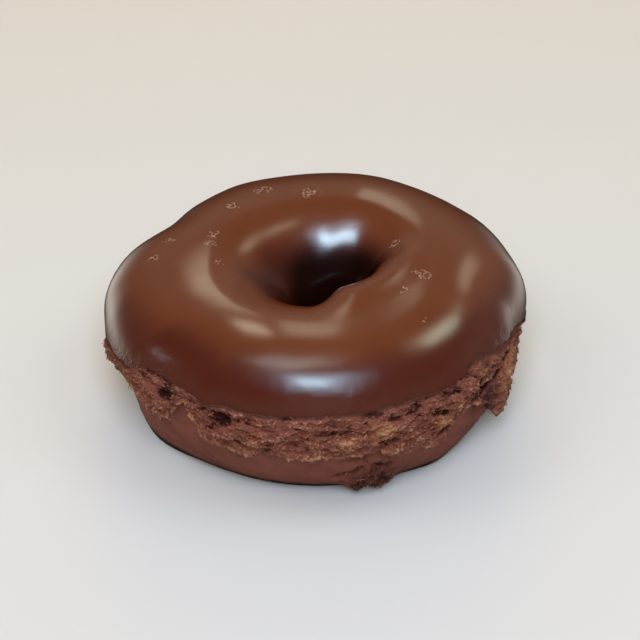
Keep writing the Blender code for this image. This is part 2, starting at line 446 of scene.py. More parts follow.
# The cake: a crumbly belt under the icing, which stands out over a smoother band
cakeForm = {
    "steps": 940,
    "band radius": 0.042,
    "band top": 0.013,
    "band fullness": 0.87,
    "base outer radius": 0.036,
    "side taper": 0.0028,
    "lip height": 0.0146,
    "lip drop": 0.0007,
    "belt swell": 0.0002,
    "clump size": 0.005,
    "clump relief": 0.0014,
    "lump size": 0.0021,
    "lump relief": 0.0007,
    "layer size": 0.003,
    "layer height": 0.0004,
    "strand size": 0.0011,
    "strand height": 0.0003,
    "grain size": 0.00045,
    "grain relief": 0.00022,
    "opening size": 0.0024,
    "opening depth": 0.0013,
    "crumb overlap": 0.0004,
}
baseSwells = ((-149, 16, 0.003), (-27, 12, -0.0019), (-51, 9, 0.0013))
lipRises = (
    (-126.5, 4.5, 0.0064), (-148, 7, 0.0008), (-114, 5, -0.0007), (-60, 7, -0.002),
    (-47, 6, 0.0034), (-28, 10.5, -0.0072), (0, 14, -0.006), (38, 8, 0.0012),
    (90, 55, -0.003), (178, 12, -0.0058), (-76, 1.6, 0.0024), (-89.5, 1.2, 0.001),
)
# a lump, hollow, pit or patch is (degrees, half width, height, half height, how far out or how strong)
tornLump = (-75.4, 5.8, 0.0046, 0.0042, 0.0016)
hollows = (
    (-152, 12, 0.011, 0.0055, -0.003), (-37.5, 4, 0.0135, 0.004, -0.0014),
    (5, 10, 0.012, 0.0052, -0.0026), (180, 9, 0.009, 0.0045, -0.0024),
    (-14, 9, 0.0155, 0.006, -0.0016),
)
flapRecess = (-37.5, 3.6, 0.0135, 0.0034, 1.0)
pits = (
    (-115, 2.6, 0.02, 0.0011, -0.002), (-132, 1.8, 0.0219, 0.0008, -0.0014),
    (-133.5, 1.6, 0.0198, 0.001, -0.0014), (-122.5, 1.2, 0.0182, 0.0008, -0.0011),
    (-93, 0.9, 0.016, 0.0007, -0.0012), (-89.5, 1.3, 0.0184, 0.0007, -0.0014),
    (-85.5, 0.8, 0.0197, 0.0005, -0.0008), (-73, 1.0, 0.016, 0.0009, -0.0012),
    (-58.5, 1.3, 0.0198, 0.0008, -0.0013), (-55.5, 1.2, 0.0185, 0.0007, -0.0013),
    (-40.5, 1.6, 0.0179, 0.0011, -0.0022), (-64.5, 0.9, 0.0226, 0.0005, -0.0008),
)
tanPatches = (
    (-148, 4, 0.0138, 0.002, 0.8), (-125.5, 4, 0.017, 0.0026, 1.0), (-27, 5, 0.016, 0.005, 1.0),
    (-92, 4, 0.0132, 0.001, 1.0), (-83, 2.5, 0.018, 0.0014, 0.8), (-73, 3, 0.019, 0.0018, 1.0),
    (-56, 2.5, 0.0165, 0.002, 1.0), (-44, 5, 0.0206, 0.0024, 0.4),
)
# a crack is (degrees and height of one end, of the other, half width, depth)
cracks = (
    (-43.0, 0.019, -39.5, 0.0185, 0.0004, 0.001), (-39.5, 0.0185, -34.5, 0.0182, 0.0005, 0.0014),
    (-34.5, 0.0182, -30.5, 0.02, 0.0005, 0.0014), (-30.5, 0.02, -24.0, 0.0206, 0.0004, 0.0012),
    (-85.5, 0.0062, -79.0, 0.0088, 0.0004, 0.0012), (-76.0, 0.0092, -70.5, 0.0086, 0.0005, 0.0012),
    (-84.0, 0.0108, -72.0, 0.0122, 0.0004, 0.0007), (-76.5, 0.007, -73.5, 0.0062, 0.0005, 0.0009),
)
arcLength = math.radians(1.0) * 0.0435  # metres of the side for each degree


def lumpShape(given):
    across = near(given["Angle"], given["Centre"], given["Half Width"])
    upwards = (given["Height"] - given["Middle"]).hill(given["Half Height"])
    return {"Out": across * upwards * given["Far"]}


def crackShape(given):
    # a groove along a straight line of the unrolled side
    alongX = (given["To Angle"] - given["From Angle"]) * arcLength
    alongZ = given["To Height"] - given["From Height"]
    x = (given["Angle"] - given["From Angle"]).math("WRAP", 180.0, -180.0) * arcLength
    z = given["Height"] - given["From Height"]
    share = ((x * alongX + z * alongZ) / (alongX.squared() + alongZ.squared())).atLeast(0.0).atMost(1.0)
    apart = ((x - share * alongX).squared() + (z - share * alongZ).squared()).math("SQRT")
    return {"Out": apart.hill(given["Half Width"]) * -given["Depth"]}


def makeShape(name, shape, labels):
    # a group for one kind of form, and the function that puts it at a row of its table
    group = buildGroup(name, ["Angle", "Height", *labels], shape)

    def shapeAt(angle, height, row):
        values = {"Angle": angle, "Height": height, **dict(zip(labels, row))}
        return useGroup(angle.tree, group, values)["Out"]

    return shapeAt


lumpAt = makeShape("lump", lumpShape, ("Centre", "Half Width", "Middle", "Half Height", "Far"))
crackLabels = ("From Angle", "From Height", "To Angle", "To Height", "Half Width", "Depth")
crackAt = makeShape("crack", crackShape, crackLabels)


def icingThickness(sizes, share):
    # full along most of the section, thinner at both ends
    full = (share * 7.0).atMost((1.0 - share) * 5.0).atMost(1.0)
    return (full * (math.pi / 2)).sin().mix(sizes["icing edge thickness"], sizes["icing thickness"])


sizesOfAll = {**ringForm, **cakeForm}
ringGroups = {"ring": buildGroup("ringMeasures", ["Angle", *sizesOfAll], ringMeasures)}
ringSockets = ringGroups["ring"].interface.items_tree
measureNames = [socket.name for socket in ringSockets if socket.in_out == "OUTPUT"]
for label, extra, makePlace in (
    ("section", ["Turn", "Outwards"], sectionPlace),
    ("side", ["Height"], sidePlace),
    ("band", ["Height"], bandPlace),
):
    ringGroups[label] = buildGroup(label + "Place", [*extra, *measureNames, *sizesOfAll], makePlace)


# How flat the crumb's parts lie, how its pits bend, and how much of each relief shows in each place
reliefForm = {
    "flatness of clumps": 1.7,
    "flatness of layers": 2.6,
    "clump smoothness": 0.35,
    "strand half width": 0.045,
    "bend size": 0.0013,
    "bend of angles": 4.5,
    "bend of heights": 0.0018,
    "ragged size": 0.0009,
    "shred size": 0.0022,
    "clumps on the band": 0.26,
    "clumps on the lump": 0.3,
    "fine on the lump": 1.2,
    "shreds on the lump": 0.0007,
    "clumps in the depth": 0.75,
    "shreds in the depth": 0.0016,
    "splits on the band": 0.45,
    "calm of the recess": 0.8,
    "lip half height": 0.00032,
}


def buildCakeTree(material):
    tree, sizes = startTree("cakeSkin", sizesOfAll)
    under = ringForm["icing edge thickness"] + ringForm["icing gap"]

    def crownSkin(share, ring, at):
        depth = icingThickness(sizes, share) + sizes["icing gap"]
        return at("section", Turn=share.mix(ring["first turn"], ring["last turn"]), Outwards=-depth)

    def holeWallSkin(share, ring, at):
        fade = (1.0 - share).power(4.0) * -under
        return at("section", Turn=share.mix(ring["last turn"], 1.5 * math.pi), Outwards=fade)

    def baseSkin(share, ring, at):
        return between(share, at("section", Turn=1.5 * math.pi, Outwards=0.0), at("band", Height=0.0))

    def bandSkin(share, ring, at):
        return at("band", Height=share * ring["lip"])

    def beltSkin(share, ring, at):
        drop = combine(tree, 0.0, 0.0, (1.0 - share * 6.0).atLeast(0.0) * -sizes["lip drop"])
        return vectorMath("ADD", at("side", Height=share.mix(ring["lip"], ring["crumb edge"])), drop)

    def ledgeSkin(share, ring, at):
        drop = combine(tree, 0.0, 0.0, -sizes["lip drop"])
        lip = vectorMath("ADD", at("side", Height=ring["lip"]), drop)
        return between(share, at("band", Height=ring["lip"]), lip)

    def shoulderSkin(share, ring, at):
        start = at("side", Height=ring["crumb edge"])
        return between(share, start, at("section", Turn=ring["first turn"], Outwards=-under))

    # each stretch with its rows and marks: "belt" is 1 on the craggy belt, and "rough" fades the relief out
    # towards the icing and the base
    smooth = {"belt": 0.0, "rough": 0.0}
    stretches = (
        (crownSkin, 4, lambda share: smooth),
        (holeWallSkin, 5, lambda share: smooth),
        (baseSkin, 1, lambda share: smooth),
        (bandSkin, 34, lambda share: {"belt": 0.0, "rough": (share * 4.0).atMost(1.0)}),
        (ledgeSkin, 3, lambda share: {"belt": share, "rough": 1.0}),
        (beltSkin, 54, lambda share: {"belt": 1.0, "rough": ((1.0 - share) * 9.0).atMost(1.0)}),
        (shoulderSkin, 1, lambda share: {"belt": 1.0 - share, "rough": 0.0}),
    )
    skin = weld(tree, [
        gridStretch(tree, sizes, cakeForm["steps"], rows, place, marks)
        for place, rows, marks in stretches
    ])

    position = positionOf(tree)
    x, y, height = split(position)
    angle = y.math("ARCTAN2", x).math("DEGREES")
    belt, rough = readMark(tree, "belt"), readMark(tree, "rough")

    # torn crumb: rounded clumps in layers, with thin strands, fine grain and ragged openings
    form = reliefForm
    flat = combine(tree, x, y, height * form["flatness of clumps"])
    flatter = combine(tree, x, y, height * form["flatness of layers"])
    clumps = cellsAt(flat, cakeForm["clump size"], form["clump smoothness"])
    lumps = noiseAt(flat, cakeForm["lump size"], detail=1.0, seed=1.0)
    layers = noiseAt(flatter, cakeForm["layer size"], detail=2.0, seed=8.0, distortion=0.4)
    strands = noiseAt(flatter, cakeForm["strand size"], detail=1.5, seed=5.0, distortion=0.8)
    strands = strands.hill(form["strand half width"])
    grain = noiseAt(position, cakeForm["grain size"], detail=1.0, seed=2.0)
    openings = noiseAt(flat, cakeForm["opening size"], detail=2.5, seed=9.0, distortion=0.5)
    openings = openings.step(0.13, 0.22)
    clod = (0.45 - clumps) * sizes["clump relief"] + lumps * sizes["lump relief"]
    fine = (
        grain * sizes["grain relief"]
        + (layers.step(-0.06, -0.02) + layers.step(0.05, 0.09)) * sizes["layer height"]
        + strands * sizes["strand height"] - openings * sizes["opening depth"] - 0.0003
    )
    shred = noiseAt(flatter, form["shred size"], detail=3.0, seed=44.0, distortion=0.7)

    # the photo's own forms: the torn lump, hollows, ragged pits and splits, and the recess under the flap
    bend = [noiseAt(position, form["bend size"], detail=2.0, seed=seed) for seed in (41.0, 42.0)]
    bentAngle = angle + bend[0] * form["bend of angles"]
    bentHeight = height + bend[1] * form["bend of heights"]
    torn = (lumpAt(angle, height, tornLump) * 2.0).atMost(tornLump[-1])
    tornShare = (torn / tornLump[-1]).atMost(1.0)
    dents = sum(lumpAt(angle, height, shape) for shape in hollows)
    ragged = noiseAt(flat, form["ragged size"], detail=2.0, seed=43.0)
    ragged = (ragged * 5.0 + 0.8).atLeast(0.1).atMost(1.3)
    holes = sum(lumpAt(bentAngle, bentHeight, shape) for shape in pits) * ragged
    splits = sum(crackAt(bentAngle, bentHeight, shape) for shape in cracks)
    recess = (lumpAt(angle, height, flapRecess) * 1.6).atMost(1.0)
    tan = sum(lumpAt(angle, height, shape) for shape in tanPatches)

    onBand = 1.0 - belt
    crumbly = (belt + onBand * tornShare).atMost(1.0)
    calmFine = fine * (1.0 - recess * form["calm of the recess"])
    lumpRelief = clod * form["clumps on the lump"] + fine * form["fine on the lump"]
    lumpRelief = lumpRelief + shred * form["shreds on the lump"]
    away = (
        belt * (rough * 0.8 + 0.2) * (clod + calmFine + holes)
        + belt * (sizes["belt swell"] - (1.0 - rough) * 0.0001)
        + onBand * rough * (torn + clod * form["clumps on the band"] + tornShare * lumpRelief)
        + rough * (dents + splits)
    )
    # what the material reads: how deep a place lies, and where strands, the torn lip and the torn lump are
    # the depth is painted as shade in the pits and as light on the raised crumb
    shreds = shred * tornShare * form["shreds in the depth"]
    depth = (
        (clod * form["clumps in the depth"] + calmFine + holes + shreds) * crumbly
        + splits * (belt + onBand * form["splits on the band"])
    )
    lipLine = useGroup(tree, ringGroups["ring"], {**sizes, "Angle": angle})["lip"] - sizes["lip drop"] * 0.6
    marks = {
        "depth": depth * 1000.0,
        "strand": strands * (belt + onBand * tornShare),
        "lip": (height - lipLine).hill(form["lip half height"]) * belt,
        "torn": tornShare,
        "recess": recess * belt,
        "tan": tan,
    }
    for name, value in marks.items():
        skin = storeMark(skin, name, value)
    moved = moveOut(skin, away)
    # nothing but the flat base reaches the ground
    endX, endY, endZ = split(positionOf(tree))
    lifted = combine(tree, endX, endY, endZ.atLeast(0.0))
    endTree(tree, out(addNode(tree, "GeometryNodeSetPosition", Geometry=moved, Position=lifted)), material)
    return tree


icingForm = {
    "icing steps": 640,
    "undulation": 0.00022,
    "undulation size": 0.009,
    "edge bumps": 0.0003,
    "edge bump size": 0.0024,
}


def buildIcingTree(material):
    tree, sizes = startTree("icingSkin", {**sizesOfAll, **icingForm})
    coatLength = 53.0  # mm of the section that the icing covers
    nose = 0.4 / coatLength  # share of the section in which the edge rounds over

    def spread(share):
        return share - (share * (2.0 * math.pi)).sin() * (0.55 / (2.0 * math.pi))

    def rounded(share):
        inFromEnd = (share.atMost(1.0 - share) / nose).atMost(1.0)
        return 1.0 - (1.0 - (1.0 - inFromEnd).squared()).power(0.5)

    def outsideSkin(share, ring, at):
        along = spread(share)
        sink = rounded(along) * icingThickness(sizes, along)
        return at("section", Turn=along.mix(ring["first turn"], ring["last turn"]), Outwards=-sink)

    def insideSkin(share, ring, at):
        along = spread(1.0 - share)
        thickness = icingThickness(sizes, along)
        return at("section", Turn=along.mix(ring["first turn"], ring["last turn"]), Outwards=-thickness)

    def crown(along):
        # 1 on top of the ring, 0 down its flank and in the hole: where the icing gets painted light and
        # sheen
        return along.step(0.1, 0.3) * (1.0 - along.step(0.52, 0.66))

    def outsideMarks(share):
        return {"along": spread(share) * coatLength, "skin": 1.0, "crown": crown(spread(share))}

    def insideMarks(share):
        return {"along": spread(1.0 - share) * coatLength, "skin": 0.0, "crown": 0.0}

    # "along" is the millimetres from the outer edge, and "skin" is 1 on the side that shows
    stretches = ((outsideSkin, 122, outsideMarks), (insideSkin, 18, insideMarks))
    coat = weld(tree, [
        gridStretch(tree, sizes, icingForm["icing steps"], rows, place, marks)
        for place, rows, marks in stretches
    ])
    position = positionOf(tree)
    nearEdge = 1.0 - readMark(tree, "along").step(0.0, 9.0)
    slow = noiseAt(position, icingForm["undulation size"], detail=1.0, seed=11.0) * sizes["undulation"]
    bumps = noiseAt(position, icingForm["edge bump size"], detail=2.0, seed=12.0) * sizes["edge bumps"]
    coat = moveOut(coat, readMark(tree, "skin") * (slow + bumps * nearEdge - sizes["undulation"] * 0.4))
    endTree(tree, coat, material)
    return tree


# Finishes
def startFinish(name):
    material = bpy.data.materials.new(name)
    material.use_nodes = True
    return material, material.node_tree, material.node_tree.nodes["Principled BSDF"]


def attribute(tree, name):
    return out(addNode(tree, "ShaderNodeAttribute", {"attribute_name": name}), "Fac")


def objectPlace(tree):
    return out(addNode(tree, "ShaderNodeTexCoord"), "Object")


def blendColours(share, low, high):
    node = addNode(share.tree, "ShaderNodeMix", {"data_type": "RGBA"})
    for name, value in (("Factor", share), ("A", low), ("B", high)):
        feed(openSocket(node.inputs, name), value if isinstance(value, Flow) else (*value, 1.0))
    return out(node, "Result")


def bump(shader, height, distance):
    node = addNode(height.tree, "ShaderNodeBump", Height=height, Distance=distance)
    feed(shader.inputs["Normal"], out(node))


def toneOutputs(given):
    # patches a few millimetres across and finer mottling, about 0, by which a finish varies
    size, seed = given["Size"], given["Seed"]
    place = objectPlace(size.tree)
    broad = noiseAt(place, size * 0.006, detail=2.0, seed=seed)
    fine = noiseAt(place, size * 0.0016, detail=3.0, seed=seed + 3.0, roughness=0.6)
    return {"Broad": broad, "Fine": fine}


toneGroup = buildGroup("unevenTone", ["Size", "Seed"], toneOutputs, "ShaderNodeTree")


def unevenTone(tree, size, seed):
    tones = useGroup(tree, toneGroup, {"Size": size, "Seed": seed})
    return tones["Broad"], tones["Fine"]


crumbLook = {
    "painted pit shade": (0.04, 0.009, 0.006),
    "crumb": (0.222, 0.063, 0.042),
    "orange": (0.345, 0.122, 0.046),
    "strand": (0.5, 0.245, 0.15),
    "band": (0.225, 0.066, 0.044),
    "contact shadow": (0.016, 0.009, 0.008),
    "recess": (0.09, 0.026, 0.024),
    "lump": (0.062, 0.013, 0.011),
    "icing stain": (0.09, 0.024, 0.015),
    "band roughness": 0.62,
    "crumb roughness": 0.7,
    "speck size": 0.00045,
    "bump size": 0.0004,
    "bump height": 0.00035,
    "contact shadow height": (0.0014, 0.004),
    "contact shadow radius": (0.0315, 0.0345),
}


def makeCrumbFinish():
    material, tree, shader = startFinish("tornCrumb")
    place = objectPlace(tree)
    names = ("depth", "lip", "torn", "belt", "tan", "strand", "recess", "rough")
    depth, lip, torn, belt, tan, strand, recess, rough = (attribute(tree, name) for name in names)
    belt = belt.step(0.3, 0.7)
    craggy = (belt + torn * 0.8).atMost(1.0)
    x, y, z = split(place)
    radius = (x.squared() + y.squared()).math("SQRT")
    # painted contact shadow: dark low on the outside just above the floor, less on the torn lump
    contactShadow = (1.0 - z.step(*crumbLook["contact shadow height"])) * radius.step(*crumbLook["contact shadow radius"])
    patches, mottle = unevenTone(tree, 1.0, 24.0)
    specks = noiseAt(place, crumbLook["speck size"], detail=1.0, seed=22.0)
    orange = (patches * 1.1 + mottle * 1.3 + lip * 0.3 + tan * 0.8 - 0.08).step(0.0, 0.6)
    crumbColour = blendColours(orange, crumbLook["crumb"], crumbLook["orange"])
    # paler on strands, specks and tan patches, and on raised crumb as painted light
    pale = strand * 0.7 + specks * 1.3 + mottle * 0.8 + depth * 0.4 + tan * 0.42
    crumbColour = blendColours(pale.step(0.3, 1.35), crumbColour, crumbLook["strand"])
    low, high = ([factor * c for c in crumbLook["band"]] for factor in (0.7, 1.3))
    bandColour = blendColours(mottle * 1.1 + patches * 1.1 + 0.5, low, high)
    colour = blendColours(craggy, bandColour, crumbColour)
    # each of these covers a share of what the ones before it gave
    layers = (
        # painted highlight: the pale strand colour along the torn lip
        ("strand", lip * (mottle * 3.0 + 0.4).atLeast(0.0).atMost(0.7)),
        # painted shade in the recess under the flap
        ("recess", recess),
        ("lump", torn * (mottle * 2.2 + 0.72).atLeast(0.0).atMost(0.95)),
        ("icing stain", (1.0 - rough + mottle * 0.9).step(0.25, 0.85) * belt),
        # painted shade in the pits and creases
        ("painted pit shade", (-depth).step(0.06, 0.66)),
        ("contact shadow", contactShadow * (1.0 - torn * 0.7)),
    )
    for name, share in layers:
        colour = blendColours(share, colour, crumbLook[name])
    feed(shader.inputs["Base Color"], colour)
    feed(shader.inputs["Roughness"], craggy.mix(crumbLook["band roughness"], crumbLook["crumb roughness"]))
    grain = noiseAt(place, crumbLook["bump size"], detail=2.0, seed=23.0, roughness=0.7)
    bump(shader, grain * (craggy * 0.8 + 0.2), crumbLook["bump height"])
    return material


# "edge reach" and "hole reach" are millimetres along the coat
# "coat" is the icing's colour with painted light and sheen on top of the ring, "dark" the same in painted
# shade down its flanks
icingLook = {
    "coat": (0.15, 0.038, 0.012),
    "dark": (0.082, 0.013, 0.005),
    # "deep" is painted shade down in the hole
    "deep": (0.01, 0.002, 0.001),
    "edge": (0.09, 0.024, 0.015),
    "roughness": 0.22,
    "edge roughness": 0.27,
    "gloss coat": 0.75,
    "gloss coat roughness": 0.21,
    "bump size": 0.0007,
    "bump height": 0.0003,
    "wisp size": 0.004,
    "edge reach": (0.5, 6.5),
    "hole reach": (29.0, 36.0),
    "hole height": (0.025, 0.03),
    "left of the hole": (-0.0078, -0.003),
    "far flank": (0.033, 0.04),
}


def makeIcingFinish():
    material, tree, shader = startFinish("chocolateIcing")
    place = objectPlace(tree)
    along = attribute(tree, "along")
    broad, fineTone = unevenTone(tree, 2.3, 31.0)
    # painted light: lighter on top of the ring and darker down its flanks, mixed with the icing's own uneven
    # tone
    pale = (attribute(tree, "crown") * 0.9 + broad * 0.5 + fineTone * 0.06).step(0.0, 1.0)
    colour = blendColours(pale, icingLook["dark"], icingLook["coat"])
    x, y, z = split(place)
    # painted shade: nearly black down in the hole, less so on its left where more light reaches
    inHole = along.step(*icingLook["hole reach"]) * (1.0 - z.step(*icingLook["hole height"]))
    inHole = inHole * x.step(*icingLook["left of the hole"]).mix(0.45, 1.0)
    colour = blendColours(inHole, colour, icingLook["deep"])
    wisps = noiseAt(place, icingLook["wisp size"], detail=3.0, seed=32.0) * 2.0
    edge = 1.0 - (along + wisps).step(*icingLook["edge reach"])
    colour = blendColours(edge, colour, icingLook["edge"])
    feed(shader.inputs["Base Color"], colour)
    # duller at its edge and down its far flank
    dull = (edge + y.step(*icingLook["far flank"])).atMost(1.0)
    feed(shader.inputs["Roughness"], dull.mix(icingLook["roughness"], icingLook["edge roughness"]))
    feed(shader.inputs["Coat Weight"], (1.0 - dull) * (1.0 - inHole) * icingLook["gloss coat"])
    shader.inputs["Coat Roughness"].default_value = icingLook["gloss coat roughness"]
    fine = noiseAt(place, icingLook["bump size"], detail=2.0, seed=33.0)
    bump(shader, fine * (edge.squared() * 0.6 + 0.03), icingLook["bump height"])
    return material


def centreOn(piece, node, others):
    # moves the piece, and the others with it, so that its outline has the same middle as the CAD node's
    low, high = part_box(node)
    points = [vertex.co for vertex in piece.data.vertices]
    shift = Vector((0.0, 0.0, 0.0))
    for axis in (0, 1):
        along = [point[axis] for point in points]
        shift[axis] = (low[axis] + high[axis] - min(along) - max(along)) / 2
    for one in (piece, *others):
        one.data.transform(Matrix.Translation(shift))
    return shift


cake = growPiece("cakeCrumb", buildCakeTree(makeCrumbFinish()), sizesOfAll)
icing = growPiece("icingCoat", buildIcingTree(makeIcingFinish()), {**sizesOfAll, **icingForm})
ringMiddle = centreOn(icing, "icing", [cake])
print("ring's own centre in the frame:", [round(v * 1000, 3) for v in ringMiddle])


# Crumbs and curled shreds that stand out of the torn belt, and pale flecks of sugar on the icing
bitsForm = {
    "cake": cake,
    "bits for each square metre": 1.9e6,
    "smallest bit": 0.00009,
    "largest bit": 0.00026,
    "shreds for each square metre": 1.0e6,
    "shred length": 0.0017,
}
fleckForm = {
    "icing": icing,
    "dots for each square metre": 1.5e8,
    "smallest dot": 0.00006,
    "largest dot": 0.00013,
}
# a fleck is (degrees, half width, radius, half width across, share of it that stays)
flecks = (
    (114, 4.6, 0.028, 0.002, 1.0), (92.5, 5.6, 0.0236, 0.0024, 1.0), (133, 3.5, 0.026, 0.002, 0.9),
    (158.5, 4.5, 0.023, 0.0017, 0.8), (167.5, 3.5, 0.0225, 0.0018, 0.8), (-177, 4.0, 0.0197, 0.0015, 0.8),
    (176.5, 2.2, 0.0338, 0.0015, 0.9), (165.5, 2.6, 0.0316, 0.0016, 0.8), (-19.5, 4.5, 0.0227, 0.0024, 0.9),
    (-35.5, 4.2, 0.0215, 0.0012, 0.8), (20, 4.6, 0.0175, 0.0015, 0.8), (-45.5, 2.0, 0.031, 0.0012, 0.8),
)


def randomBetween(tree, low, high, seed):
    return out(addNode(tree, "FunctionNodeRandomValue", Min=low, Max=high, Seed=seed), "Value")


def scatter(tree, target, density, seed, makeOne, smallest, largest, tones=(0.0, 1.0), keep=None):
    # copies of one small shape on the target's skin, turned and stretched at random, each with its own tone
    skin = out(addNode(tree, "GeometryNodeObjectInfo", Object=target), "Geometry")
    spots = addNode(tree, "GeometryNodeDistributePointsOnFaces", Mesh=skin, Density=density, Seed=seed)
    limits = (0.6, 0.6, math.pi)
    turns = [randomBetween(tree, -limit, limit, seed + 1 + place) for place, limit in enumerate(limits)]
    rotation = addNode(
        tree, "FunctionNodeRotateRotation", {"rotation_space": "LOCAL"}, Rotation=out(spots, "Rotation"),
        Rotate_By=combine(tree, *turns),
    )
    size = randomBetween(tree, 0.0, 1.0, seed + 5).squared().mix(smallest, largest)
    stretch = combine(tree, size * randomBetween(tree, 0.7, 1.4, seed + 6), size, size * 0.7)
    placed = addNode(
        tree, "GeometryNodeInstanceOnPoints", Points=out(spots, "Points"), Instance=makeOne(tree),
        Rotation=out(rotation), Scale=stretch,
    )
    if keep is not None:
        feed(placed.inputs["Selection"], keep)
    return storeMark(out(placed), "tone", randomBetween(tree, *tones, seed + 8), "INSTANCE")


def makeBit(tree):
    return out(addNode(tree, "GeometryNodeMeshIcoSphere", Radius=1.0, Subdivisions=1), "Mesh")


def makeShred(tree):
    # a thin thread with a square section, curled by a third of a turn
    arc = addNode(tree, "GeometryNodeCurveArc", Resolution=6, Radius=0.5, Sweep_Angle=2.2)
    section = addNode(tree, "GeometryNodeCurvePrimitiveCircle", Resolution=4, Radius=0.045)
    curves = {"Curve": out(arc, "Curve"), "Profile_Curve": out(section, "Curve")}
    return out(addNode(tree, "GeometryNodeCurveToMesh", **curves))


def buildBitsTree(material):
    tree, sizes = startTree("looseBits", bitsForm)
    position = positionOf(tree)
    clusters = noiseAt(position, 0.003, detail=1.0, seed=51.0).step(-0.1, 0.16)
    torn = (readMark(tree, "belt") * readMark(tree, "rough") * clusters + readMark(tree, "torn")).atMost(1.0)
    height = split(position)[2]
    # none at the very foot, and none down in the pits
    torn = torn * height.step(0.0014, 0.0024) * readMark(tree, "depth").step(-0.7, -0.25)
    bits = scatter(
        tree, sizes["cake"], torn * sizes["bits for each square metre"], 60, makeBit,
        sizes["smallest bit"], sizes["largest bit"], tones=(0.0, 0.6),
    )
    shreds = scatter(
        tree, sizes["cake"], torn * sizes["shreds for each square metre"], 80, makeShred,
        sizes["shred length"] * 0.4, sizes["shred length"], tones=(0.2, 1.0),
    )
    joined = tree.nodes.new("GeometryNodeJoinGeometry")
    for part in (bits, shreds):
        feed(joined.inputs[0], part)
    endTree(tree, out(joined), material)
    return tree


def buildFlecksTree(material):
    tree, sizes = startTree("sugarFlecks", fleckForm)
    position = positionOf(tree)
    x, y, _ = split(position)
    angle = y.math("ARCTAN2", x).math("DEGREES")
    radius = (x.squared() + y.squared()).math("SQRT")
    inFleck = sum(lumpAt(angle, radius, shape) for shape in flecks).atMost(1.0)
    crinkles = noiseAt(position, 0.0016, detail=1.0, seed=52.0, distortion=0.6).hill(0.022)
    specks = noiseAt(position, 0.0006, detail=0.0, seed=53.0).step(0.2, 0.26) * 0.5
    shown = (inFleck.step(0.25, 0.6) * (crinkles + specks)).math("GREATER_THAN", 0.42)
    density = readMark(tree, "skin") * inFleck.step(0.05, 0.3) * sizes["dots for each square metre"]
    dots = scatter(
        tree, sizes["icing"], density, 90, makeBit, sizes["smallest dot"], sizes["largest dot"], keep=shown,
    )
    endTree(tree, dots, material)
    return tree


bitsLook = {"dark": (0.085, 0.024, 0.016), "pale": (0.4, 0.17, 0.1), "roughness": 0.7, "seed": 25.0}
sugarLook = {"dark": (0.26, 0.13, 0.078), "pale": (0.54, 0.35, 0.235), "roughness": 0.45, "seed": 26.0}


def makeBitsFinish(name, look):
    material, tree, shader = startFinish(name)
    broad, fine = unevenTone(tree, 0.5, look["seed"])
    share = (attribute(tree, "tone") + broad * 0.4 + fine * 0.4).step(0.0, 1.0)
    feed(shader.inputs["Base Color"], blendColours(share, look["dark"], look["pale"]))
    shader.inputs["Roughness"].default_value = look["roughness"]
    return material


bits = growPiece("looseCrumbs", buildBitsTree(makeBitsFinish("looseCrumb", bitsLook)), bitsForm)
sugar = growPiece("icingFlecks", buildFlecksTree(makeBitsFinish("paleSugar", sugarLook)), fleckForm)
for piece, slot in ((cake, "crumb"), (icing, "icing"), (bits, "crumb"), (sugar, "icing")):
    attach(piece, "root")
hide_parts("cake")
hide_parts("icing")


# Floor, light and camera
stageForm = {
    "floor size": 3.0,
    "floor colour": (0.74, 0.735, 0.73),
    "sky": (0.13, 0.077, 0.02),
    "gloss colour": (1.0, 0.95, 0.84),
    "gloss": 0.03,
    "gloss of the walls": 0.22,
    "gloss of the sides": 1.0,
    "wall rise": 0.45,
    "wall half height": 0.25,
    "side rise": -0.2,
    "side half height": 0.26,
    "share far left": 0.42,
    "share in front": 0.12,
    "share on the left": 1.3,
    "share on the right": 0.9,
}


def makeFloor():
    bpy.ops.mesh.primitive_plane_add(size=stageForm["floor size"])
    floor = bpy.context.active_object
    floor.name = "paleFloor"
    material, _, shader = startFinish("paleMatt")
    shader.inputs["Base Color"].default_value = (*stageForm["floor colour"], 1.0)
    shader.inputs["Roughness"].default_value = 0.9
    floor.data.materials.append(material)
    floor.visible_glossy = False


def makeWorld():
    # a room that fills the shadows; in the gloss it is dim, and brighter where its walls stand
    world = bpy.data.worlds.new("softRoom")
    scene.world = world
    world.use_nodes = True
    tree = world.node_tree
    background = tree.nodes["Background"]
    glossy = out(addNode(tree, "ShaderNodeLightPath"), "Is Glossy Ray")
    side, behind, up = split(out(addNode(tree, "ShaderNodeTexCoord"), "Generated"))
    # the walls behind the part, dimmer far to the left and towards the camera
    form = stageForm
    walls = (up - form["wall rise"]).hill(form["wall half height"])
    walls = walls.mix(form["gloss"], form["gloss of the walls"])
    walls = walls * side.step(-0.6, -0.32).mix(form["share far left"], 1.0)
    walls = walls * behind.step(-0.2, 0.4).mix(form["share in front"], 1.0)
    # what is bright low down at both sides
    sides = side.squared().step(0.06, 0.3) * (up - form["side rise"]).hill(form["side half height"])
    sides = sides * behind.step(0.1, 0.5)
    sides = sides * side.step(-0.3, 0.3).mix(form["share on the left"], form["share on the right"])
    room = walls + sides * form["gloss of the sides"]
    feed(background.inputs["Color"], blendColours(glossy, stageForm["sky"], stageForm["gloss colour"]))
    feed(background.inputs["Strength"], glossy.mix(1.0, room))


# Soft light from every side, cooler from the camera's. Azimuth 0 is +X and -90 the camera's side;
# a panel is (azimuth, elevation, watts, colour)
panels = {
    "front": (-90, 50, 6.3, (0.73, 0.83, 1.0)),
    "lowFront": (-90, 20, 0.4, (1.0, 1.0, 0.15)),
    "back": (90, 52, 1.0, (1.0, 0.7, 0.48)),
    "lowBack": (90, 20, 2.4, (1.0, 0.8, 0.24)),
    "left": (180, 50, 1.3, (0.87, 0.93, 1.0)),
    "lowLeft": (180, 20, 0.64, (1.0, 0.7, 0.22)),
    "right": (0, 50, 1.5, (0.85, 0.99, 1.0)),
    "top": (0, 88, 0.95, (0.85, 0.88, 1.0)),
}
